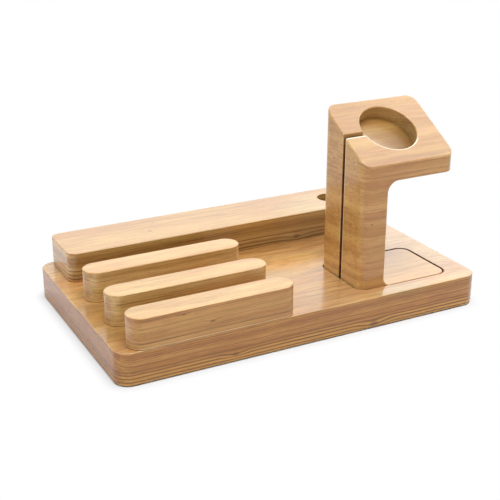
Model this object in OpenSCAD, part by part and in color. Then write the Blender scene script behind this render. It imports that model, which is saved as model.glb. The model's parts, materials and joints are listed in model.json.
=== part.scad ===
// Wooden charging station organizer: a board with three short dividers and a long rear bar
// that hold phones and a tablet upright, and a lift-out stand for a watch and its charger.
// Origin: centre of the board, at the level that its foot pads stand on. X runs along the
// board from left to right, Y from front to rear and Z up. All lengths are in millimetres.

/* [Base board] */
// Length of the board, left to right
base_l = 185; // [176:1:240]
// Width of the board, front to rear
base_w = 110; // [95:1:150]
// Thickness of the board
base_t = 15; // [13:0.5:20]
// Radius of the board's vertical corners
base_corner_r = 7; // [4:0.5:9]
// Radius that softens the edges of the board and of the bars on it
edge_r = 0.5; // [0.2:0.1:1]

/* [Bars] */
// Height of the dividers and of the rear bar above the board
bar_h = 14.5; // [12:0.5:30]
// Distance from the board's ends to the bars
bar_inset = 6.5; // [4:0.5:12]
// Length of the dividers
divider_l = 78; // [50:1:100]
// Thickness of the dividers, whose ends are full rounds
divider_t = 13; // [10:0.5:16]
// Width of the rear bar, front to rear
rear_bar_w = 30.5; // [20:0.5:36]
// Radius of the rear bar's vertical corners
rear_bar_corner_r = 4.5; // [3:0.5:7]

/* [Pen hole] */
// Diameter of the pen hole, which goes through the rear bar down to the board
pen_hole_d = 12.7; // [8:0.1:16]
// Distance from the rear bar's right end to the middle of the pen hole
pen_hole_inset = 20.5; // [12:0.5:40]

/* [Watch stand] */
// Length of the stand, left to right
stand_l = 50; // [42:1:60]
// Width of the stand, front to rear
stand_w = 36; // [35:0.5:42]
// Height of the stand's top edge above the board's underside
stand_top_h = 95.2; // [85:0.2:130]
// Distance from the stand to the board's right end
stand_right_gap = 12; // [6:0.5:20]
// Distance from the stand to the board's front
stand_front_gap = 9.4; // [5:0.2:20]
// Radius of the stand's vertical corners
stand_corner_r = 5; // [3:0.5:7]
// Thickness of the post
post_t = 13.2; // [11:0.2:18]
// Thickness of the foot, which lies flush in the board
foot_t = 8; // [5:0.5:9]
// Thickness of the head at its front edge
head_front_t = 8.3; // [7:0.1:14]
// Slope of the head's top, which falls towards the front, in degrees
head_slope = 30.1; // [20:0.1:32]
// Radius between the post and the head's underside
head_fillet_r = 5.5; // [1:0.5:10]
// Radius between the post and the foot
foot_fillet_r = 3.8; // [1:0.2:8]
// Radius of the head's lower right edge
head_edge_r = 1.8; // [0.5:0.1:4]

/* [Charger recess] */
// Diameter of the round recess for the watch charger
recess_d = 28; // [22:0.2:29]
// Depth of the recess, square to the head's top
recess_depth = 7; // [4:0.2:8]
// Distance up the slope from the middle of the head's top to the middle of the recess
recess_offset = 1.4; // [0:0.1:1.5]
// Width of the cable slot
cable_slot_w = 2.1; // [1.6:0.1:4]
// Depth of the cable slot in the post
cable_slot_depth = 7.5; // [3:0.5:9]

/* [Fits] */
// Gap round the stand's foot in its pocket
pocket_gap = 0.5; // [0.4:0.1:1.5]
// Gap round a foot pad in its seat
pad_gap = 0.3; // [0.2:0.1:0.6]
// Gap round a screw's shank in the board
shank_gap = 0.3; // [0.2:0.1:0.6]
// Gap round a screw's shank in the bar that it holds
pilot_gap = 0.1; // [0.05:0.05:0.3]

/* [Foot pads] */
// Diameter of the foot pads
pad_d = 12; // [8:0.5:14]
// Thickness of the foot pads
pad_t = 2; // [1.5:0.1:3]
// Height by which the foot pads stand proud of the board's underside
pad_proud = 0.5; // [0.3:0.1:1.2]
// Radius of the foot pads' lower edges
pad_edge_r = 0.4; // [0.1:0.1:0.5]
// Distance from the board's ends to the middle of a foot pad
pad_inset_x = 13; // [10:0.5:18]
// Distance from the board's front and rear to the middle of a foot pad
pad_inset_y = 19; // [12:0.5:23]

/* [Screws] */
// Diameter of the screws' shanks
screw_d = 3.4; // [2.5:0.1:4]
// Length of the screws
screw_l = 25; // [20:0.5:26]
// Diameter of the screws' countersunk heads
screw_head_d = 7; // [5.5:0.1:8]
// Height of the screws' countersunk heads
screw_head_h = 2.2; // [1.8:0.1:3]
// Depth of the screws' heads below the board's underside
screw_sink = 0.3; // [0.1:0.1:1]
// Length of the screws' points
screw_point_l = 4; // [2:0.5:6]
// Diameter of a screw's blunt tip
screw_tip_d = 0.6; // [0.4:0.1:1]
// Length of the cross slots in the screws' heads
drive_l = 3.6; // [2.5:0.1:4.5]
// Width of the cross slots
drive_w = 0.8; // [0.5:0.1:1.2]
// Depth of the cross slots
drive_depth = 1.2; // [0.8:0.1:1.5]
// Distance from a divider's ends to its screws
divider_screw_inset = 14; // [10:0.5:22]
// Distance from the rear bar's left end to its first screw, and from its last one to the pen hole
rear_screw_inset = 26; // [14:1:40]

/* [Hidden] */
PAD_NODES = ["foot_pad_front_left", "foot_pad_front_right", "foot_pad_rear_left", "foot_pad_rear_right"];

$fn = 96;
// Overrun of every cut past the face that it opens
overrun = 1;

// Colours
board_colour = [0.83, 0.66, 0.44];
bar_colour = [0.88, 0.72, 0.51];
stand_colour = [0.86, 0.69, 0.48];
pad_colour = [0.20, 0.19, 0.18];
screw_colour = [0.75, 0.76, 0.78];

// Board: its left front corner, its underside and its top
left_x = -base_l / 2;
front_y = -base_w / 2;
board_z = pad_proud;
board_top_z = board_z + base_t;

// Bars: the front divider is flush with the board's front, and the rear bar with its rear.
// The front, middle and rear slots share the room that the dividers leave between them.
slot_shares = [0.30, 0.37, 0.33];
slots_w = base_w - rear_bar_w - 3 * divider_t;
bar_x = left_x + bar_inset;
middle_divider_y = front_y + divider_t + slot_shares[0] * slots_w;
rear_bar_y = -front_y - rear_bar_w;
rear_divider_y = rear_bar_y - slot_shares[2] * slots_w - divider_t;
rear_bar_l = base_l - 2 * bar_inset;
pen_hole_x = rear_bar_l - pen_hole_inset;

// Watch stand
stand_x = left_x + base_l - stand_right_gap - stand_l;
stand_y = front_y + stand_front_gap;
stand_z = board_top_z - foot_t;
stand_h = stand_top_h - base_t + foot_t;
head_front_h = stand_h - stand_w * tan(head_slope);
head_under_h = head_front_h - head_front_t;
slope_l = stand_w / cos(head_slope);
recess_from_front = slope_l / 2 + recess_offset;

// Foot pads and screws
pad_numbers = [0:len(PAD_NODES) - 1];
pad_seat_depth = pad_t - pad_proud;
screw_z = board_z + screw_sink;
sink_d = screw_head_d + 2 * shank_gap;
divider_screw_shares = [0, 1];
rear_screw_shares = [0, 0.5, 1];

// Flat rectangle with round corners, its lower left corner at the origin
module rounded_outline(l, w, r) {
    translate([r, 0]) square([l - 2 * r, w]);
    translate([0, r]) square([l, w - 2 * r]);
    for (x = [r, l - r], y = [r, w - r]) translate([x, y]) circle(r);
}

// Upright round column with softened upper and lower edges
module soft_column(r, h) {
    rotate_extrude() {
        square([r - edge_r, h]);
        translate([0, edge_r]) square([r, h - 2 * edge_r]);
        for (z = [edge_r, h - edge_r]) translate([r - edge_r, z]) circle(edge_r);
    }
}

// Block with softened edges and open ends, which runs along X or along Y
module soft_run_x(l, w, h) {
    rotate([90, 0, 90]) linear_extrude(l) rounded_outline(w, h, edge_r);
}

module soft_run_y(l, w, h) {
    translate([0, w]) rotate([90, 0, 0]) linear_extrude(w) rounded_outline(l, h, edge_r);
}

// Slab with round vertical corners and softened edges, its lowest corner at the origin
module soft_slab(l, w, h, corner_r) {
    translate([corner_r, 0]) soft_run_x(l - 2 * corner_r, w, h);
    translate([0, corner_r]) soft_run_y(l, w - 2 * corner_r, h);
    for (x = [corner_r, l - corner_r], y = [corner_r, w - corner_r]) translate([x, y]) soft_column(corner_r, h);
}

// Bar whose ends are full rounds, with softened edges
module soft_bar(l, w, h) {
    translate([w / 2, 0]) soft_run_x(l - w, w, h);
    for (x = [w / 2, l - w / 2]) translate([x, w / 2]) soft_column(w / 2, h);
}

// Places of the screws under one bar: the first, and those to the last at the given shares
module at_screws(first_x, last_x, y, shares) {
    for (share = shares) translate([first_x + share * (last_x - first_x), y]) children();
}

// Places of all the screws, three rows under the dividers and one under the rear bar
module at_all_screws() {
    for (y = [front_y, middle_divider_y, rear_divider_y])
        at_screws(bar_x + divider_screw_inset, bar_x + divider_l - divider_screw_inset, y + divider_t / 2,
                  divider_screw_shares) children();
    at_screws(bar_x + rear_screw_inset, bar_x + pen_hole_x - rear_screw_inset, rear_bar_y + rear_bar_w / 2,
              rear_screw_shares) children();
}

// Places of the foot pads, by number: front left, front right, rear left, rear right
module at_pad(number) {
    side_x = number % 2 == 0 ? -1 : 1;
    side_y = number < 2 ? -1 : 1;
    translate([side_x * (base_l / 2 - pad_inset_x), side_y * (base_w / 2 - pad_inset_y)]) children();
}

// Hole for a screw in the board, countersunk from below
module screw_clearance() {
    translate([0, 0, board_z - overrun]) cylinder(h = base_t + 2 * overrun, d = screw_d + 2 * shank_gap);
    translate([0, 0, screw_z]) cylinder(h = screw_head_h, d1 = sink_d, d2 = screw_d + 2 * shank_gap);
    translate([0, 0, board_z - overrun]) cylinder(h = screw_sink + overrun, d = sink_d);
}

// Hole for a screw in the bar that it holds, blind above its tip
module screw_pilot() {
    translate([0, 0, board_top_z - overrun])
        cylinder(h = screw_z + screw_l + pilot_gap - board_top_z + overrun, d = screw_d + 2 * pilot_gap);
}

module screw() {
    body_l = screw_l - screw_point_l;
    difference() {
        union() {
            cylinder(h = screw_head_h, d1 = screw_head_d, d2 = screw_d);
            cylinder(h = body_l, d = screw_d);
            translate([0, 0, body_l]) cylinder(h = screw_point_l, d1 = screw_d, d2 = screw_tip_d);
        }
        for (turn = [0, 90]) rotate(turn)
            translate([-drive_l / 2, -drive_w / 2, -overrun]) cube([drive_l, drive_w, drive_depth + overrun]);
    }
}

// Board with the stand's pocket in its top, and the screw holes and pad seats below
module base_board() {
    color(board_colour) difference() {
        translate([left_x, front_y, board_z]) soft_slab(base_l, base_w, base_t, base_corner_r);
        translate([stand_x - pocket_gap, stand_y - pocket_gap, stand_z])
            linear_extrude(foot_t + overrun)
                rounded_outline(stand_l + 2 * pocket_gap, stand_w + 2 * pocket_gap, stand_corner_r + pocket_gap);
        at_all_screws() screw_clearance();
        for (number = pad_numbers) at_pad(number)
            translate([0, 0, board_z - overrun]) cylinder(h = pad_seat_depth + overrun, d = pad_d + 2 * pad_gap);
    }
}

module divider(y) {
    color(bar_colour) difference() {
        translate([bar_x, y, board_top_z]) soft_bar(divider_l, divider_t, bar_h);
        at_all_screws() screw_pilot();
    }
}

// Long bar along the rear edge, with the pen hole through it near its right end
module rear_bar() {
    color(bar_colour) difference() {
        translate([bar_x, rear_bar_y, board_top_z])
            soft_slab(rear_bar_l, rear_bar_w, bar_h, rear_bar_corner_r);
        translate([bar_x + pen_hole_x, rear_bar_y + rear_bar_w / 2, board_top_z - overrun])
            cylinder(h = bar_h + 2 * overrun, d = pen_hole_d);
        at_all_screws() screw_pilot();
    }
}

// Side view of the open space between the stand's foot and head, with the post to its left
module stand_gap_outline() {
    gap_h = head_under_h - foot_t;
    reach = stand_l + overrun;
    translate([post_t, foot_t + foot_fillet_r]) square([reach, gap_h - foot_fillet_r - head_fillet_r]);
    translate([post_t + foot_fillet_r, foot_t]) square([reach, gap_h - head_fillet_r]);
    translate([post_t + head_fillet_r, foot_t + foot_fillet_r]) square([reach, gap_h - foot_fillet_r]);
    translate([post_t + foot_fillet_r, foot_t + foot_fillet_r]) circle(foot_fillet_r);
    translate([post_t + head_fillet_r, head_under_h - head_fillet_r]) circle(head_fillet_r);
}

// Waste outside the rounded lower right edge of the head
module head_edge_outline() {
    translate([stand_l, head_under_h]) difference() {
        translate([-head_edge_r, -overrun]) square([head_edge_r + overrun, head_edge_r + overrun]);
        translate([-head_edge_r, head_edge_r]) circle(head_edge_r);
    }
}

// Frame of the head's sloping top: its lower left corner, with Y up the slope and Z square to it
module on_slope() {
    translate([0, 0, head_front_h]) rotate([head_slope, 0, 0]) children();
}

// Waste of the cable slot: shallow down the post, and through the head to the recess, where
// its floor lies in the plane of the recess's floor
module cable_slot() {
    slot_y = (stand_w - cable_slot_w) / 2;
    translate([-overrun, slot_y, -overrun])
        cube([cable_slot_depth + overrun, cable_slot_w, stand_h + 2 * overrun]);
    intersection() {
        translate([-overrun, slot_y, 0]) cube([stand_l / 2 + overrun, cable_slot_w, 2 * stand_h]);
        on_slope() translate([-2 * overrun, -slope_l, -recess_depth]) cube([stand_l, 3 * slope_l, 2 * stand_h]);
    }
}

// Stand in one piece: a foot that drops into the board's pocket, a post along its left end
// and a head whose sloping top has the charger's recess and the slot for its cable
module watch_stand() {
    color(stand_colour) translate([stand_x, stand_y, stand_z]) difference() {
        linear_extrude(stand_h) rounded_outline(stand_l, stand_w, stand_corner_r);
        translate([0, stand_w + overrun]) rotate([90, 0, 0]) linear_extrude(stand_w + 2 * overrun) {
            stand_gap_outline();
            head_edge_outline();
        }
        on_slope() {
            translate([-overrun, -stand_w, 0]) cube([stand_l + 2 * overrun, slope_l + 2 * stand_w, stand_w]);
            translate([stand_l / 2, recess_from_front, -recess_depth])
                cylinder(h = recess_depth + stand_w, d = recess_d);
        }
        cable_slot();
    }
}

// Countersunk wood screws, driven up through the board into the dividers and the rear bar
module bar_screws() {
    color(screw_colour) at_all_screws() translate([0, 0, screw_z]) screw();
}

// Round anti-slip pad, stuck in its seat in the board's underside
module foot_pad(number) {
    color(pad_colour) at_pad(number) rotate_extrude() {
        square([pad_d / 2 - pad_edge_r, pad_t]);
        translate([0, pad_edge_r]) square([pad_d / 2, pad_t - pad_edge_r]);
        translate([pad_d / 2 - pad_edge_r, pad_edge_r]) circle(pad_edge_r);
    }
}

base_board();
divider(front_y);  // divider_front
divider(middle_divider_y);  // divider_middle
divider(rear_divider_y);  // divider_rear
rear_bar();
watch_stand();
bar_screws();
for (number = pad_numbers)
    foot_pad(number);
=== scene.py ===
"""Looks of the wooden charging station organizer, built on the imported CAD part.

The board, its bars, the screws and the foot pads are the CAD nodes with procedural materials.
The watch stand's solid has sharp edges, so a copy of its mesh with softened edges stands for it.
The scene is laid out in metres in the CAD frame, and the materials' patterns in millimetres:
origin at the centre of the board on the surface that it stands on, X to the right, Y to the rear.
"""

import json
import math

import bmesh
import bpy
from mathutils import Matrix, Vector


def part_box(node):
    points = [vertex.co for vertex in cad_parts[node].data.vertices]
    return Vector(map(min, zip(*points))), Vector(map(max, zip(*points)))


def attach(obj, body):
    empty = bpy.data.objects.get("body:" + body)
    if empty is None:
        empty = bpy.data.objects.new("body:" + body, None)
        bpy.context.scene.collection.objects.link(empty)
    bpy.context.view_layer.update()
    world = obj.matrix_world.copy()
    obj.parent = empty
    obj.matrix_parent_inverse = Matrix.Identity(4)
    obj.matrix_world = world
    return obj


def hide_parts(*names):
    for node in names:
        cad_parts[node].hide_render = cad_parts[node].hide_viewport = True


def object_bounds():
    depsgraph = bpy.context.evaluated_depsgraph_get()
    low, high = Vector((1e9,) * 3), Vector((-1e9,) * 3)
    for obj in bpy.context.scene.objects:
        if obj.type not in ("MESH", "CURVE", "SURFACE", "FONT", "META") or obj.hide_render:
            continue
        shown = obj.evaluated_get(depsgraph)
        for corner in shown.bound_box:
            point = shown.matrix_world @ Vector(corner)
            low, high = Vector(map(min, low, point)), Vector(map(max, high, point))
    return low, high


MM = 0.001
WHITE = (1.0, 1.0, 1.0, 1.0)

# Camera, as fitted to the photograph
CAMERA_PLACE = Vector((-0.2136, -0.4038, 0.2090))
CAMERA_AZIMUTH = math.radians(-27.50)
CAMERA_ELEVATION = math.radians(21.89)
CAMERA_LENS = 73.07
CAMERA_SENSOR = 36.0

# Surroundings: how bright they are as light on the object, and as they are seen
AMBIENT = 0.24
BACKGROUND = 1.0
# Soft lamps: name, place, the point that they face, width, height, and how bright their face looks
LAMPS = (
    ("softbox_rear", (0.15, 1.15, 0.75), (0, 0, 0.02), 2.0, 1.0, 0.7),
    ("softbox_rear_right", (1.32, 1.05, 0.70), (0.05, 0, 0.02), 1.1, 1.0, 0.65),
    ("softbox_top", (0.08, -0.42, 1.30), (0, 0, 0.02), 0.9, 0.7, 7.5),
    ("softbox_right", (0.95, 0.22, 1.25), (0, 0, 0.02), 0.9, 0.9, 2.4),
    ("softbox_left", (-1.30, -0.10, 0.70), (0, 0, 0.02), 1.0, 0.8, 1.8),
)

# Floor: half its side, how far it lies below the pads, and the white glow mixed into it
FLOOR_HALF = 6.0
FLOOR_DROP = 0.05 * MM
FLOOR_GLOW = 0.87
FLOOR_GLOW_SHARE = 0.6
# Distances from the board's outline between which the floor comes out from under the board, turns
# plain white to look at, and turns plain white in reflections
FLOOR_UNCOVERED = (-0.5 * MM, 0.1 * MM)
FLOOR_PLAIN = (-1.5 * MM, 6 * MM)
FLOOR_PLAIN_MIRRORED = (10 * MM, 80 * MM)
# Radius of the board's vertical corners
BOARD_CORNER = 7 * MM

# Softened watch stand: width of its rounded edges, and share of that at the slot
STAND_EDGE = 0.6 * MM
STAND_EDGE_SEGMENTS = 3
SLOT_EDGE_SHARE = 0.7
# Angle from which an edge is sharp, and weight of large faces in the smooth shading
SHARP_FROM = math.radians(35)
FACE_WEIGHT = 80
# Distance within which two points of its mesh are one, and angle within which two faces are one
SAME_PLACE = 0.002 * MM
SAME_PLANE = math.radians(0.6)
# Reach of the cable slot to either side of its middle, and from the left side of the stand
SLOT_REACH = 2 * MM
SLOT_REACH_LEFT = 8 * MM
# How far past the recess's radius its wall is looked for, and how squarely its floor faces the axis
RECESS_SLACK = 0.2 * MM
RECESS_FLOOR = 0.99
# Numbers of the stand's materials, after 0 for its plain faces
IN_RECESS, IN_SLOT, ON_EDGE = 1, 2, 3

# Usual range of a noise
NOISE_RANGE = (0.3, 0.7)

# Wood: size in mm of its features along the grain, across it and through the growth rings
WAVE_SIZE = (75, 30, 30)
STREAK_SIZE = (55, 3.0, 1.1)
FIBRE_SIZE = (9, 1.2, 0.55)
BLOTCH_SIZE = (38, 13, 6)
DRIFT_SIZE = (90, 7, 5)
PORE_SIZE = (3.0, 0.42, 0.34)
# How far in mm the waves bend the grain, and how wide the three kinds of growth rings are
WAVE_REACH = (0.0, 5.0, 2.2)
BROAD_RING = 5.5
FINE_RING = 0.8
SPARSE_RING = 3.4
# Shift of the patterns for a seed of 1
SEED_SHIFT = (13.7, 7.1, 3.3)
# Knots: shape of the bent grain and of the dark core for a radius of 1, how far out the bend ends,
# how high it is, and between which distances the core ends
KNOT_BEND = (0.16, 0.55, 0.55)
KNOT_CORE = (0.42, 1.0, 1.0)
KNOT_BEND_END = 1.6
KNOT_BEND_HEIGHT = 1.1
KNOT_CORE_END = (0.3, 1.15)

# Tone of the wood: what the broad rings, the streaks and the blotches add, and the range of the sum
BROAD_SHARE = 0.42
STREAK_SHARE = 0.42
BLOTCH_SHARE = 0.30
TONE_RANGE = (0.15, 0.90)
# Slow drift of the colour between two tints
YELLOWER = (1.01, 1.02, 0.94, 1.0)
ROSIER = (1.01, 0.95, 0.96, 1.0)
# How much darker and paler the fibres make it, and in which range of theirs
FIBRE_DARKER = 0.20
FIBRE_PALER = 0.17
FIBRE_RANGE = (0.25, 0.75)
# Sapwood: its share in the colour, and how far it blurs into the rest, in mm
SAPWOOD_SHARE = 0.75
SAPWOOD_BLUR = 0.5

# Dark marks: where in its noise a mark starts and is full, and how much of the dark colour it takes.
# A sparse line is this close to the middle of its rings, and only where there is a streak.
FINE_RANGE = (0.45, 0.74)
FINE_DARK = 0.32
SPARSE_WIDTH = (0.004, 0.030)
SPARSE_STREAK = (0.42, 0.62)
SPARSE_DARK = 0.5
PORE_RANGE = (0.62, 0.78)
PORE_DARK = 0.30
KNOT_DARK = 0.7
# Share of a single layer's width that is its full strength
LAYER_CORE = 0.3

# Size of the normal's Z from upright faces to level ones, and of its X from side faces to ends
LEVEL_RANGE = (0.25, 0.85)
END_RANGE = (0.6, 0.98)
# Shares of its reach between which a patch ends
PATCH_END = (0.3, 1.0)

# Surface of the wood: roughness under the lacquer, and what the fibres and pores add to its relief
WOOD_ROUGHNESS = (0.42, 0.52)
FIBRE_RELIEF = 0.6
PORE_RELIEF = -0.5
WOOD_BUMP = 0.10
WOOD_BUMP_MM = 0.08
LACQUER_BUMP_MM = 0.05

# Glued joint under the bars: its height in mm, how strong its painted highlight and painted shadow
# lines are, and between which heights above it the highlight starts and ends, and the shadow ends
JOINT_HEIGHT = 15.5
JOINT_HIGHLIGHT = 0.65
JOINT_SHADOW = 0.65
JOINT_HIGHLIGHT_LINE = (0.25, 0.45, 0.65, 1.0)
JOINT_SHADOW_LINE = (0.15, 0.40)

# The board's pocket for the stand in mm: gap, corner radius, the distances from its wall between
# which its painted shade ends, and how much faster that fades on the way down than on the board's top
POCKET_GAP = 0.5
POCKET_CORNER = 5.5
POCKET_EDGE = (0.3, 0.6)
POCKET_EDGE_FLATNESS = 4.0
# The edge starts between these places, from the middle of the mouth
POCKET_EDGE_LEFT = (-14.0, -6.0)
POCKET_SHADE = (0.24, 0.18, 0.13, 1.0)

# Cable slot: half its width in mm, and the painted shade deep in it, which begins between these
# depths from the stand's left side and from its sloping top
SLOT_HALF = 1.05
SLOT_SHADE = (0.34, 0.27, 0.18, 1.0)
SLOT_FROM_SIDE = (0.2, 0.8)
SLOT_FROM_TOP = (0.6, 2.4)

# Painted highlight on the stand's softened edges: their wood is paler and whiter
EDGE_HIGHLIGHT_TINT = (1.15, 1.3, 1.6)
# Painted highlight on the rim of the recess and on the front edge of its slot: colour, and share on
# level and upright faces
RIM_HIGHLIGHT = (1.0, 0.88, 0.66, 1.0)
EDGE_LEVEL = 0.95
EDGE_UPRIGHT = 0.7
# The rim, in mm: distances between which it ends outside the recess's wall, starts above the
# recess's middle, ends to the right, as shares of the radius, and ends behind the slot's front
RIM_OUTSIDE = (0.5, 0.9)
RIM_ABOVE = (2.0, 2.8)
RIM_RIGHT = (0.64, 0.96)
RIM_BEHIND = (0.0, 1.5)
# The slot's edge, in mm: places behind the slot's front between which it starts and then ends, and
# distances from the recess's left side between which it ends to the right
SLOT_LINE = (-0.85, -0.6, 0.1, 0.3)
SLOT_LINE_END = (1.0, 3.0)

# Directions in which a painted shade darkens the recess and a painted sheen makes it paler, where
# those changes start and end as shares of its radius, the darkest painted shade, and the colour and
# strength of the painted sheen
RECESS_SHADE_DIRECTION = (0.83, -0.48, -0.28)
RECESS_SHEEN_DIRECTION = (-0.75, -0.57, -0.33)
SHADE_REACH = (-0.3, 1.0)
SHEEN_REACH = (0.0, 0.8)
DARKEST_SHADE = 0.62
SHEEN = (0.85, 0.80, 0.72, 1.0)
SHEEN_SHARE = 0.34

# Zinc: size in mm and shift of its turning marks and of its crystals, roughness, and relief
MARK_SIZE = (0.9, 0.9, 0.06)
MARK_SHIFT = (0, 0, 0)
CRYSTAL_SIZE = (1.1, 1.1, 1.1)
CRYSTAL_SHIFT = (4, 2, 9)
ZINC_ROUGHNESS = (0.26, 0.42)
ZINC_BUMP = 0.15
ZINC_BUMP_MM = 0.03

# Rubber: size in mm and shift of its pebbles and of the dust, range of the dust, roughness, and relief
PEBBLE_SIZE = (0.22, 0.22, 0.22)
PEBBLE_SHIFT = (1, 5, 2)
DUST_SIZE = (3.5, 3.5, 3.5)
DUST_SHIFT = (7, 3, 1)
DUST_RANGE = (0.35, 0.75)
RUBBER_ROUGHNESS = (0.72, 0.86)
RUBBER_BUMP = 0.35
RUBBER_BUMP_MM = 0.05


def linear(code):
    """Colour for a shader from a hex code such as "E0B080"."""
    shares = [int(code[i:i + 2], 16) / 255 for i in (0, 2, 4)]
    return [s / 12.92 if s <= 0.04045 else ((s + 0.055) / 1.055) ** 2.4 for s in shares] + [1.0]


def add(name, data):
    """Object in the scene for a mesh, a lamp or a camera."""
    made = bpy.data.objects.new(name, data)
    bpy.context.scene.collection.objects.link(made)
    return made


class Shader:
    """Material or world whose nodes are added by short calls, which return a socket.

    An input is a number, a vector, a colour or a socket.
    """

    def __init__(self, owner, out="OutputMaterial"):
        owner.use_nodes = True
        self.owner = owner
        self.tree = owner.node_tree
        self.tree.nodes.clear()
        self.out = self.tree.nodes.new("ShaderNode" + out)

    def node(self, kind, inputs=None, **settings):
        """Output sockets of a new node."""
        made = self.tree.nodes.new("ShaderNode" + kind)
        for name, value in settings.items():
            setattr(made, name, value)
        for key, value in (inputs or {}).items():
            if isinstance(value, bpy.types.NodeSocket):
                self.tree.links.new(value, made.inputs[key])
            else:
                made.inputs[key].default_value = value
        return made.outputs

    def finish(self, surface):
        self.tree.links.new(surface, self.out.inputs["Surface"])
        return self.owner

    # Numbers

    def math(self, operation, a, b=0.0):
        return self.node("Math", {0: a, 1: b}, operation=operation)[0]

    def product(self, first, *others):
        for other in others:
            first = self.math("MULTIPLY", first, other)
        return first

    def span(self, value, low, high, to_low=0.0, to_high=1.0):
        """A value between low and high, laid out evenly between two others."""
        return self.node("MapRange", {0: value, 1: low, 2: high, 3: to_low, 4: to_high}, clamp=True)[0]

    def ease(self, value, low, high, to_low=0.0, to_high=1.0):
        """The same with a smooth start and end."""
        return self.node("MapRange", {0: value, 1: low, 2: high, 3: to_low, 4: to_high}, clamp=True,
                         interpolation_type="SMOOTHSTEP")[0]

    def fall(self, value, low, high):
        """1 up to low and 0 from high."""
        return self.ease(value, low, high, 1.0, 0.0)

    def band(self, value, start, full, end, gone):
        """1 between full and end, and 0 before start and after gone."""
        return self.product(self.ease(value, start, full), self.fall(value, end, gone))

    # Vectors

    def vector(self, operation, a, b=(0.0, 0.0, 0.0)):
        return self.node("VectorMath", {0: a, 1: b}, operation=operation)[0]

    def scaled(self, a, scale):
        return self.node("VectorMath", {0: a, "Scale": scale}, operation="SCALE")[0]

    def length(self, a):
        return self.node("VectorMath", {0: a}, operation="LENGTH")["Value"]

    def dot(self, a, b):
        return self.node("VectorMath", {0: a, 1: b}, operation="DOT_PRODUCT")["Value"]

    def axes(self, a):
        return self.node("SeparateXYZ", {0: a})

    def place_mm(self):
        """Place on the object in mm."""
        return self.scaled(self.node("TexCoord")["Object"], 1 / MM)

    def beyond(self, offset, inner, corner):
        """Distance from a rounded box. inner is half its size without the radius of its corners."""
        outside = self.vector("SUBTRACT", self.vector("ABSOLUTE", offset), inner)
        outside = self.vector("MAXIMUM", outside, (0.0, 0.0, 0.0))
        return self.math("SUBTRACT", self.length(outside), corner)

    # Patterns and colours

    def noise(self, place, size, shift, detail=2.0, roughness=0.5, output="Fac"):
        """Noise with features of a size along each axis."""
        place = self.vector("MULTIPLY", place, [1 / length for length in size])
        place = self.vector("ADD", place, shift)
        return self.node("TexNoise", {"Vector": place, "Scale": 1.0, "Detail": detail,
                                      "Roughness": roughness})[output]

    def noise_along(self, distance, size, detail=2.0, roughness=0.5):
        """Noise along a distance with features of a size."""
        along = self.math("DIVIDE", distance, size)
        return self.node("TexNoise", {"W": along, "Scale": 1.0, "Detail": detail,
                                      "Roughness": roughness}, noise_dimensions="1D")[0]

    def spread(self, noise, to_low=0.0, to_high=1.0):
        """The usual range of a noise, laid out between two values."""
        return self.span(noise, *NOISE_RANGE, to_low, to_high)

    def blend(self, share, a, b, kind="MIX"):
        return self.node("Mix", {0: share, 6: a, 7: b}, data_type="RGBA", blend_type=kind)[2]

    def tinted(self, colour, tint, share=1.0):
        return self.blend(share, colour, tint, "MULTIPLY")

    def bump(self, height, strength, distance_mm):
        return self.node("Bump", {"Strength": strength, "Distance": distance_mm * MM,
                                  "Height": height})[0]


def bent_grain(s, place, shift, knots):
    """Place bent by long waves and round the knots, and how near a knot's middle it is."""
    wave = s.noise(place, WAVE_SIZE, shift, roughness=0.4, output="Color")
    wave = s.vector("MULTIPLY", s.vector("SUBTRACT", wave, (0.5, 0.5, 0.5)), WAVE_REACH)
    bent = s.vector("ADD", place, wave)
    core = 0.0
    for x, y, z, radius in knots:
        offset = s.scaled(s.vector("SUBTRACT", place, (x, y, z)), 1 / radius)
        bend = s.length(s.vector("MULTIPLY", offset, KNOT_BEND))
        rise = s.ease(bend, 0.0, KNOT_BEND_END, KNOT_BEND_HEIGHT * radius, 0.0)
        bent = s.vector("ADD", bent, s.node("CombineXYZ", {"Z": rise})[0])
        near = s.fall(s.length(s.vector("MULTIPLY", offset, KNOT_CORE)), *KNOT_CORE_END)
        core = s.math("MAXIMUM", core, near)
    return bent, core


def rim_highlight(s, place, centre, axis, radius, slot_y):
    """How much painted highlight a place gets on the rim of a recess before its slot, or on the slot's
    front edge.

    centre, axis and radius are the recess's, and slot_y is where the slot's front edge is.
    """
    offset = s.vector("SUBTRACT", place, centre)
    flat = s.vector("SUBTRACT", offset, s.vector("PROJECT", offset, axis))
    outside = s.math("SUBTRACT", s.length(flat), radius)
    aside = s.axes(offset)[0]
    behind = s.math("SUBTRACT", s.axes(place)[1], slot_y)
    rim = s.product(s.fall(outside, *RIM_OUTSIDE), s.ease(s.dot(offset, axis), *RIM_ABOVE),
                    s.fall(aside, *[share * radius for share in RIM_RIGHT]),
                    s.fall(behind, *RIM_BEHIND))
    line = s.product(s.band(behind, *SLOT_LINE), s.fall(aside, *[x - radius for x in SLOT_LINE_END]))
    return s.math("MAXIMUM", rim, line)


def slot_shade_depth(s, place, side_x, normal, level):
    """How deep a place is in a slot, which sets the painted shade in it.

    side_x is where the side is that the slot is cut into. The top is square to normal, at level.
    """
    from_side = s.math("SUBTRACT", s.axes(place)[0], side_x)
    from_top = s.math("SUBTRACT", level, s.dot(place, normal))
    return s.product(s.ease(from_side, *SLOT_FROM_SIDE), s.ease(from_top, *SLOT_FROM_TOP))


def mouth_shade(s, place, mouth, inner, corner):
    """How much painted shade a place gets on the edge of a pocket's mouth, except at its left end.

    mouth is its middle, inner is half its size without the radius of its corners, which is corner.
    """
    offset = s.vector("MULTIPLY", s.vector("SUBTRACT", place, mouth), (1.0, 1.0, POCKET_EDGE_FLATNESS))
    on_edge = s.fall(s.beyond(offset, inner, corner), *POCKET_EDGE)
    return s.product(on_edge, s.ease(s.axes(offset)[0], *POCKET_EDGE_LEFT))


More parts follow.
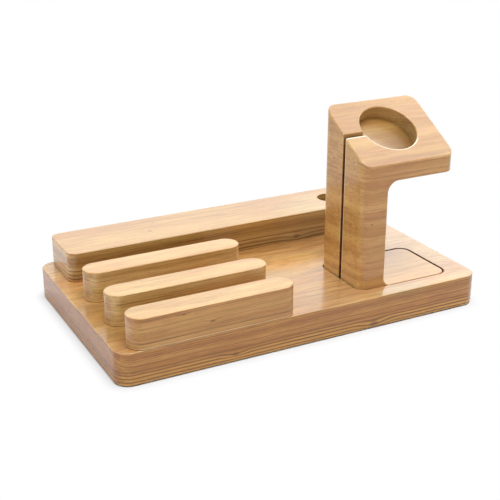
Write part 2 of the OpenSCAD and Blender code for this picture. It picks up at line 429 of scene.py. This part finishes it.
def side_change(s, place, centre, direction, reach, shares, before, after):
    """Slow change from before to after, in a direction, between two shares of the reach."""
    along = s.dot(s.vector("SUBTRACT", place, centre), direction)
    return s.ease(along, shares[0] * reach, shares[1] * reach, before, after)


def wood(name, light, middle, dark, rings, seed, tones, layers=(), knots=(), sapwood=None,
         lines=1.0, level_lines=0.5, grain=1.0, gloss=0.12, lacquered=1.0, open_grain=0.05,
         joint=None, slot=None, pocket=None, painted_shade_side=None, painted_sheen_side=None, rim_highlights=None,
         light_and_shade_patches=()):
    """Satin-lacquered wood with its grain along X. Places and lengths are in mm.

    light, middle, dark: colours of the pale wood, of the darker wood, and of lines and marks
    rings: (y, z) of the far axis that the growth rings go round
    seed: number that shifts the patterns
    tones: tints of the level faces, of the upright ones along the grain, and of the ends; partly the
    wood's own tone, partly painted light and shade
    layers: (height, width, strength) of each single dark line
    knots: (x, y, z, radius) of each knot
    sapwood: (height, colour) of the wood below a height
    lines, level_lines: strength of the ring lines, and their share of it on level faces
    grain: strength of the fibres
    gloss, lacquered, open_grain: roughness of the lacquer, how much of it there is, and how far
        the pores show in it
    joint: height of a glued joint, with a dark line of painted shadow in its groove and a pale line of
    painted highlight above it
    slot: what slot_shade_depth takes, for a slot with painted shade inside
    pocket: what mouth_shade takes, for a pocket with painted shade round its mouth, where the lacquer
    is left off
    painted_shade_side, painted_sheen_side: (centre, direction, reach) of a painted shade and of a
    painted sheen that grow toward one side
    rim_highlights: what rim_highlight takes, for a painted highlight on a recess's rim and on its
    slot's front edge
    patches: (centre, reach along X, Y and Z, tint) of each painted spot: darker ones are painted
    shadows, lighter ones painted light, and bluer ones painted reflections
    """
    s = Shader(bpy.data.materials.new(name))
    place = s.place_mm()
    shift = [seed * step for step in SEED_SHIFT]
    bent, knot = bent_grain(s, place, shift, knots)
    along, across, height = s.axes(bent)
    from_rings = s.vector("SUBTRACT", bent, (0.0, *rings))
    radius = s.length(s.vector("MULTIPLY", from_rings, (0.0, 1.0, 1.0)))
    laid = s.node("CombineXYZ", {0: along, 1: across, 2: radius})[0]

    # Drawn out along the grain: soft streaks, fibres, blotches, slow drift and short dark pores
    streak = s.noise(laid, STREAK_SIZE, shift, detail=4.0, roughness=0.62)
    fibre = s.noise(laid, FIBRE_SIZE, shift, detail=3.0, roughness=0.7)
    blotch = s.noise(laid, BLOTCH_SIZE, shift, detail=1.0)
    drift = s.noise(laid, DRIFT_SIZE, shift[1:] + shift[:1])
    pores = s.ease(s.noise(place, PORE_SIZE, shift, detail=1.0), *PORE_RANGE)

    # Growth rings: broad tone, fine lines, and sparse darker ones that come and go
    broad = s.noise_along(radius, BROAD_RING, detail=1.0)
    fine = s.noise_along(radius, FINE_RING, roughness=0.65)
    crossing = s.math("SUBTRACT", s.noise_along(radius, SPARSE_RING, detail=1.0), 0.5)
    sparse = s.fall(s.math("ABSOLUTE", crossing), *SPARSE_WIDTH)
    sparse = s.product(sparse, s.ease(streak, *SPARSE_STREAK))

    tone = s.math("ADD", s.spread(broad, 0.0, BROAD_SHARE), s.spread(streak, 0.0, STREAK_SHARE))
    tone = s.math("ADD", tone, s.spread(blotch, 0.0, BLOTCH_SHARE))
    colour = s.blend(s.ease(tone, *TONE_RANGE), light, middle)
    colour = s.tinted(colour, s.blend(s.ease(drift, *NOISE_RANGE), YELLOWER, ROSIER))
    if sapwood:
        top, sap = sapwood
        below = s.ease(height, top - SAPWOOD_BLUR, top + SAPWOOD_BLUR, SAPWOOD_SHARE, 0.0)
        colour = s.blend(below, colour, sap)

    # Dark marks. Level faces show less of the ring lines than upright ones.
    facing = s.axes(s.vector("ABSOLUTE", s.node("TexCoord")["Normal"]))
    upright = s.fall(facing[2], *LEVEL_RANGE)
    drawn = s.span(upright, 0.0, 1.0, level_lines * lines, lines)
    marks = [s.product(s.ease(fine, *FINE_RANGE, 0.0, FINE_DARK), drawn),
             s.product(sparse, SPARSE_DARK, drawn)]
    for layer, width, strength in layers:
        distance = s.math("ABSOLUTE", s.math("SUBTRACT", height, layer))
        marks.append(s.ease(distance, width * LAYER_CORE, width, strength, 0.0))
    marks += [s.product(knot, KNOT_DARK), s.product(pores, PORE_DARK)]
    for mark in marks:
        colour = s.blend(mark, colour, dark)

    # The faces are cut differently across the rings, and so differ in tone. The tints are also painted
    # light and shade: each face is made as light or dark as the light falling on it makes it look
    level_tone, side_tone, end_tone = [(*tint, 1.0) for tint in tones]
    upright_tone = s.blend(s.ease(facing[0], *END_RANGE), side_tone, end_tone)
    colour = s.tinted(colour, s.blend(upright, level_tone, upright_tone))
    # Painted spots of shadow, light and reflection
    for centre, reach, tint in light_and_shade_patches:
        far = s.length(s.vector("DIVIDE", s.vector("SUBTRACT", place, centre), reach))
        colour = s.tinted(colour, (*tint, 1.0), s.fall(far, *PATCH_END))

    # Details at single places
    # Painted highlight on the recess's rim and on the slot's front edge
    if rim_highlights:
        strength = s.span(upright, 0.0, 1.0, EDGE_LEVEL, EDGE_UPRIGHT)
        strength = s.product(strength, rim_highlight(s, place, *rim_highlights))
        colour = s.blend(strength, colour, RIM_HIGHLIGHT)
    # Painted shadow in the joint's groove, and a painted highlight above it
    if joint:
        rise = s.math("SUBTRACT", s.axes(place)[2], joint)
        colour = s.blend(s.product(s.band(rise, *JOINT_HIGHLIGHT_LINE), JOINT_HIGHLIGHT), colour, light)
        colour = s.blend(s.ease(rise, *JOINT_SHADOW_LINE, JOINT_SHADOW, 0.0), colour, dark)
    # Painted shade deep in the slot
    if slot:
        colour = s.tinted(colour, SLOT_SHADE, slot_shade_depth(s, place, *slot))
    # Painted shade round the pocket's mouth, where the lacquer is left off
    if pocket:
        edge = mouth_shade(s, place, *pocket)
        colour = s.tinted(colour, POCKET_SHADE, edge)
        lacquered = s.span(edge, 0.0, 1.0, lacquered, 0.0)
    shade = s.span(fibre, *FIBRE_RANGE, 1 - FIBRE_DARKER * grain, 1 + FIBRE_PALER * grain)
    # Painted shade that darkens one side of the recess
    if painted_shade_side:
        shade = s.product(shade, side_change(s, place, *painted_shade_side, SHADE_REACH, 1.0, DARKEST_SHADE))
    # Painted sheen that makes the other side of the recess paler
    if painted_sheen_side:
        sheen = side_change(s, place, *painted_sheen_side, SHEEN_REACH, 0.0, SHEEN_SHARE)
        colour = s.blend(sheen, colour, SHEEN)

    relief = s.math("ADD", s.product(fibre, FIBRE_RELIEF), s.product(pores, PORE_RELIEF))
    surface = s.node("BsdfPrincipled", {
        "Base Color": s.scaled(colour, shade), "Roughness": s.spread(fibre, *WOOD_ROUGHNESS),
        "Normal": s.bump(relief, WOOD_BUMP, WOOD_BUMP_MM), "IOR": 1.5, "Specular IOR Level": 0.25,
        "Coat Weight": lacquered, "Coat Roughness": gloss, "Coat IOR": 1.5,
        "Coat Normal": s.bump(relief, open_grain, LACQUER_BUMP_MM)})
    return s.finish(surface[0])


def zinc_steel():
    """Zinc-plated steel with fine turning marks and a faint crystal pattern."""
    s = Shader(bpy.data.materials.new("zinc_steel"))
    place = s.place_mm()
    marks = s.noise(place, MARK_SIZE, MARK_SHIFT, detail=3.0, roughness=0.6)
    crystal = s.noise(place, CRYSTAL_SIZE, CRYSTAL_SHIFT)
    surface = s.node("BsdfPrincipled", {
        "Base Color": s.blend(s.spread(crystal), linear("A9AAAB"), linear("C3C2BC")),
        "Metallic": 1.0, "Roughness": s.spread(marks, *ZINC_ROUGHNESS),
        "Normal": s.bump(marks, ZINC_BUMP, ZINC_BUMP_MM)})
    return s.finish(surface[0])


def pad_rubber():
    """Matt black rubber with a fine pebble grain and a trace of dust."""
    s = Shader(bpy.data.materials.new("pad_rubber"))
    place = s.place_mm()
    pebbles = s.noise(place, PEBBLE_SIZE, PEBBLE_SHIFT, roughness=0.6)
    dust = s.span(s.noise(place, DUST_SIZE, DUST_SHIFT, detail=3.0), *DUST_RANGE)
    surface = s.node("BsdfPrincipled", {
        "Base Color": s.blend(dust, linear("262524"), linear("3B3936")),
        "Roughness": s.spread(pebbles, *RUBBER_ROUGHNESS), "Specular IOR Level": 0.35,
        "Normal": s.bump(pebbles, RUBBER_BUMP, RUBBER_BUMP_MM)})
    return s.finish(surface[0])


def dress(piece, *materials):
    if piece.data.materials:
        piece.data.materials.clear()
    for material in materials:
        piece.data.materials.append(material)


def softened(node, name):
    """Copy of the stand's mesh as clean faces, whose outer edges are rounded off by a modifier."""
    mesh = bpy.data.meshes.new(name)
    shape = bmesh.new()
    shape.from_mesh(nodes[node].data)
    bmesh.ops.remove_doubles(shape, verts=shape.verts, dist=SAME_PLACE)
    bmesh.ops.dissolve_limit(shape, angle_limit=SAME_PLANE, verts=shape.verts, edges=shape.edges)
    bmesh.ops.recalc_face_normals(shape, faces=shape.faces)
    weight = shape.edges.layers.float.new("bevel_weight_edge")
    for edge in shape.edges:
        if edge.calc_face_angle(0.0) < SHARP_FROM:
            continue
        if edge.is_convex:
            edge[weight] = edge_share(edge)
        edge.smooth = edge[weight] > 0
    for face in shape.faces:
        face.smooth = True
        face.material_index = cut_of(face)
    shape.to_mesh(mesh)
    shape.free()
    piece = add(name, mesh)
    bevel = piece.modifiers.new("edges", "BEVEL")
    bevel.width = STAND_EDGE
    bevel.segments = STAND_EDGE_SEGMENTS
    bevel.limit_method = "WEIGHT"
    bevel.use_clamp_overlap = False
    bevel.miter_outer = "MITER_ARC"
    bevel.material = ON_EDGE
    shading = piece.modifiers.new("shading", "WEIGHTED_NORMAL")
    shading.weight = FACE_WEIGHT
    shading.keep_sharp = True
    return piece


def by_slot(place):
    """Whether a place is as far to the front or rear as the cable slot is."""
    return abs(place.y - (stand_low.y + stand_high.y) / 2) < SLOT_REACH


def edge_share(edge):
    """How far an outer edge of the stand is rounded off, as a share of the widest."""
    middle = (edge.verts[0].co + edge.verts[1].co) / 2
    return SLOT_EDGE_SHARE if by_slot(middle) and middle.x < stand_low.x + SLOT_REACH_LEFT else 1.0


def cut_of(face):
    """Number of the stand's material on a face."""
    if all(by_slot(vert.co) for vert in face.verts):
        return IN_SLOT
    offsets = [vert.co - Vector(recess["pos_m"]) for vert in face.verts]
    rises = [offset.dot(slope) for offset in offsets]
    widths = [(offset - slope * rise).length for offset, rise in zip(offsets, rises)]
    on_floor = max(rises) < 0 and face.normal.dot(slope) > RECESS_FLOOR
    on_wall = min(rises) < 0 and max(widths) < recess_r * MM + RECESS_SLACK
    return IN_RECESS if on_floor or on_wall else 0


def area_lamp(name, place, target, width, height, radiance):
    """Rectangular soft lamp. radiance is how bright its face looks, where 1 is white."""
    data = bpy.data.lights.new(name, "AREA")
    data.shape = "RECTANGLE"
    data.size = width
    data.size_y = height
    data.energy = radiance * math.pi * width * height
    lamp = add(name, data)
    lamp.location = place
    lamp.rotation_euler = (Vector(target) - Vector(place)).to_track_quat("-Z", "Y").to_euler()


def studio_floor():
    """Pale floor that keeps the object's shadow.

    It turns plain white away from the object, and in reflections farther away.
    """
    s = Shader(bpy.data.materials.new("floor_pale"))
    right, rear, _ = cad_box[1]
    inner = (right - BOARD_CORNER, rear - BOARD_CORNER, 0.0)
    away = s.beyond(s.node("TexCoord")["Object"], inner, BOARD_CORNER)
    path = s.node("LightPath")
    uncovered = s.product(path["Is Camera Ray"], s.ease(away, *FLOOR_UNCOVERED))
    mirrored = s.math("MAXIMUM", path["Is Glossy Ray"], path["Is Transmission Ray"])
    plain = s.math("MAXIMUM", s.product(uncovered, s.ease(away, *FLOOR_PLAIN)),
                   s.product(mirrored, s.ease(away, *FLOOR_PLAIN_MIRRORED)))
    lit = s.node("BsdfDiffuse", {"Color": linear("E4E6EA")})[0]
    glow = s.node("Emission", {"Color": WHITE, "Strength": FLOOR_GLOW})[0]
    near = s.node("MixShader", {0: s.product(uncovered, FLOOR_GLOW_SHARE), 1: lit, 2: glow})[0]
    white = s.node("Emission", {"Color": WHITE, "Strength": BACKGROUND})[0]
    material = s.finish(s.node("MixShader", {0: plain, 1: near, 2: white})[0])
    mesh = bpy.data.meshes.new("floor")
    corners = [(x * FLOOR_HALF, y * FLOOR_HALF, 0) for x, y in ((-1, -1), (1, -1), (1, 1), (-1, 1))]
    mesh.from_pydata(corners, [], [(0, 1, 2, 3)])
    floor = add("floor", mesh)
    floor.location.z = -FLOOR_DROP
    dress(floor, material)


def surroundings():
    """White to look at and in reflections, and dimmer as light."""
    s = Shader(bpy.data.worlds.new("studio"), "OutputWorld")
    path = s.node("LightPath")
    seen = s.math("MAXIMUM", path["Is Camera Ray"], path["Is Glossy Ray"])
    seen = s.math("MAXIMUM", seen, path["Is Transmission Ray"])
    level = s.span(seen, 0.0, 1.0, AMBIENT, BACKGROUND)
    bpy.context.scene.world = s.finish(s.node("Background", {"Color": WHITE, "Strength": level})[0])


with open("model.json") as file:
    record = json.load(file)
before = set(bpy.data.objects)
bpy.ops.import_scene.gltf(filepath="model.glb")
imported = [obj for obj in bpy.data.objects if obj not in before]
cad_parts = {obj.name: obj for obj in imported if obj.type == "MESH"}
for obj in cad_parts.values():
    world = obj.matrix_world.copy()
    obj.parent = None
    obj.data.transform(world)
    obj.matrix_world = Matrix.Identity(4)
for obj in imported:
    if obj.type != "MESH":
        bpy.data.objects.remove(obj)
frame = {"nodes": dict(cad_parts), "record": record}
cad_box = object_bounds()
nodes = frame["nodes"]
recess = next(mount for mount in frame["record"]["mounts"] if mount["name"] == "charger_recess")

# Camera
camera_data = bpy.data.cameras.new("camera")
camera_data.lens = CAMERA_LENS
camera_data.sensor_width = CAMERA_SENSOR
camera = add("camera", camera_data)
camera.location = CAMERA_PLACE
camera.rotation_euler = (math.pi / 2 - CAMERA_ELEVATION, 0.0, CAMERA_AZIMUTH)
bpy.context.scene.camera = camera
bpy.context.scene.view_settings.view_transform = "Standard"

# Board, with the pocket that the stand's box gives
stand_low, stand_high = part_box("watch_stand")
pocket_mouth = (stand_low + stand_high) / 2 / MM
pocket_mouth.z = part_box("base_board")[1].z / MM
pocket_inner = (stand_high - stand_low) / 2 / MM + Vector((1, 1, 0)) * (POCKET_GAP - POCKET_CORNER)
pocket_inner.z = 0
dress(nodes["base_board"], wood(
    "board_wood", linear("DFB57B"), linear("C79158"), linear("6E4219"), (-10, -150), 1.3,
    ((0.90, 0.89, 0.78), (0.75, 0.60, 0.29), (0.68, 0.46, 0.11)),
    lines=1.6, level_lines=0.4, grain=1.45, gloss=0.18, open_grain=0.25,
    layers=((6.3, 0.45, 0.5), (4.9, 0.45, 0.65), (3.3, 0.5, 0.7), (1.6, 0.4, 0.65)),
    knots=((-38.9, -55, 3.9, 0.9), (32.6, -55, 2.4, 1.3)),
    sapwood=(5.2, linear("F0C27A")),
    # Painted shade round the pocket's mouth
    pocket=(pocket_mouth, pocket_inner, POCKET_CORNER),
    # Painted spots on the board's top: lighter ones as painted light, bluer ones as painted
    # reflections, and darker ones as painted shadows between the bars' left ends, along the rear bar's
    # foot and at the left margin
    light_and_shade_patches=(((24, -3, 15), (28, 14, 4), (1.22, 1.18, 0.90)),
             ((86, -20, 15), (16, 60, 4), (0.92, 1.0, 1.25)),
             ((50, -52, 15), (22, 7, 4), (0.92, 1.16, 1.50)),
             ((20, -45, 15), (30, 16, 4), (0.94, 1.02, 1.22)),
             ((20, 23, 15), (62, 9, 4), (0.80, 0.80, 0.80)),
             ((-72, -35, 15), (34, 12, 4), (0.62, 0.62, 0.62)),
             ((-72, -6, 15), (34, 12, 4), (0.66, 0.66, 0.66)),
             ((-86, -20, 15), (13, 30, 4), (0.84, 0.79, 0.58)),
             ((-85, 33, 15), (8, 14, 4), (1.22, 1.22, 1.18)))))

# Bars
dress(nodes["divider_front"], wood(
    "divider_front_wood", linear("E8C188"), linear("CF9D66"), linear("7D4A1E"), (-40, -120), 3.1,
    ((1.01, 1.10, 0.97), (0.74, 0.60, 0.34), (0.80, 0.70, 0.62)),
    lines=1.3, joint=JOINT_HEIGHT, layers=((18.4, 0.5, 0.35),),
    knots=((-49.6, -55, 22.1, 0.7), (-62.8, -55, 27.95, 0.5))))
dress(nodes["divider_middle"], wood(
    "divider_middle_wood", linear("E8C284"), linear("CD9F62"), linear("75491B"), (-30, -110), 4.3,
    ((0.95, 0.93, 0.80), (1.0, 1.04, 1.01), (0.80, 0.70, 0.62)), joint=JOINT_HEIGHT))
dress(nodes["divider_rear"], wood(
    "divider_rear_wood", linear("E8C284"), linear("CD9F62"), linear("75491B"), (14, -130), 7.7,
    ((0.95, 0.89, 0.72), (0.91, 0.96, 0.92), (0.80, 0.70, 0.62)), joint=JOINT_HEIGHT))
dress(nodes["rear_bar"], wood(
    "rear_bar_wood", linear("E8C189"), linear("CF9D68"), linear("6B4218"), (30, -110), 11.9,
    ((0.78, 0.74, 0.50), (0.71, 0.69, 0.50), (1.04, 1.01, 0.82)),
    layers=((17.0, 0.6, 0.7), (18.9, 0.5, 0.5), (20.8, 0.6, 0.6), (24.9, 4.2, 0.28)),
    knots=((36.8, 24.5, 17.8, 1.1), (-40.2, 36.7, 30, 0.7)),
    sapwood=(20.0, linear("C79E6C")),
    # Painted spots: a bluer one on the top's right end as a painted reflection, and a lighter one low
    # on the front as painted light
    light_and_shade_patches=(((52, 36, 30), (24, 16, 4), (0.98, 1.12, 1.35)),
             ((30, 24.5, 17), (30, 4, 7), (1.10, 1.16, 1.25)))))

# Watch stand
slope = Vector(recess["axis"])
recess_r = recess["dims"]["r_mm"]
recess_middle = Vector(recess["pos_m"]) / MM
slope_level = Vector(recess["pos_m"]).dot(slope) / MM + recess["dims"]["length_mm"] / 2
slot_front = (stand_low.y + stand_high.y) / 2 / MM - SLOT_HALF
stand = softened("watch_stand", "watch_stand_soft")
stand_look = (linear("E8BC7E"), linear("CB965C"), linear("75471B"), (-46, -250), 17.2)
# Tints of the stand's level faces, sides and ends: partly the wood's own tone, partly painted light
# and shade
stand_tones = ((0.73, 0.67, 0.49), (0.77, 0.67, 0.51), (0.92, 0.91, 0.76))
# Tints of the softened edges, paler and whiter as a painted highlight
edge_highlight_tones = [[a * b for a, b in zip(tone, EDGE_HIGHLIGHT_TINT)] for tone in stand_tones]
# Tints of the recess: its floor darker as painted shade, its wall and end lighter as painted light
recess_shade_tones = ((0.62, 0.59, 0.40), (1.0, 1.15, 1.25), (1.0, 1.15, 1.25))
# Painted highlights on the recess's rim and on the slot's front edge
stand_highlights = (recess_middle, slope, recess_r, slot_front)
dress(stand,
      wood("stand_wood", *stand_look, stand_tones, lines=0.55, grain=0.8, rim_highlights=stand_highlights,
           knots=((35.4, -45.6, 47.4, 0.4), (30.5, -35.3, 40.9, 0.6))),
      # Recess: a shaded copy of the stand's wood, with a painted shade and a painted sheen to either
      # side
      wood("stand_recess_shaded_wood", *stand_look, recess_shade_tones, lines=0.6, grain=0.8, gloss=0.3,
           lacquered=0.5, painted_shade_side=(recess_middle, RECESS_SHADE_DIRECTION, recess_r),
           painted_sheen_side=(recess_middle, RECESS_SHEEN_DIRECTION, recess_r)),
      # Slot: painted shade deep inside it
      wood("stand_slot_shade_wood", *stand_look, stand_tones, lines=0.55, grain=0.8, gloss=0.5,
           slot=(stand_low.x / MM, slope, slope_level)),
      # Softened edges: paler, whiter wood as a painted highlight
      wood("stand_edge_highlight_wood", *stand_look, edge_highlight_tones, lines=0.4, rim_highlights=stand_highlights))
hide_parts("watch_stand")
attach(stand, "stand")

# Screws and pads
dress(nodes["bar_screws"], zinc_steel())
rubber = pad_rubber()
for node in nodes:
    if node.startswith("foot_pad"):
        dress(nodes[node], rubber)

# Light
surroundings()
studio_floor()
for lamp in LAMPS:
    area_lamp(*lamp)
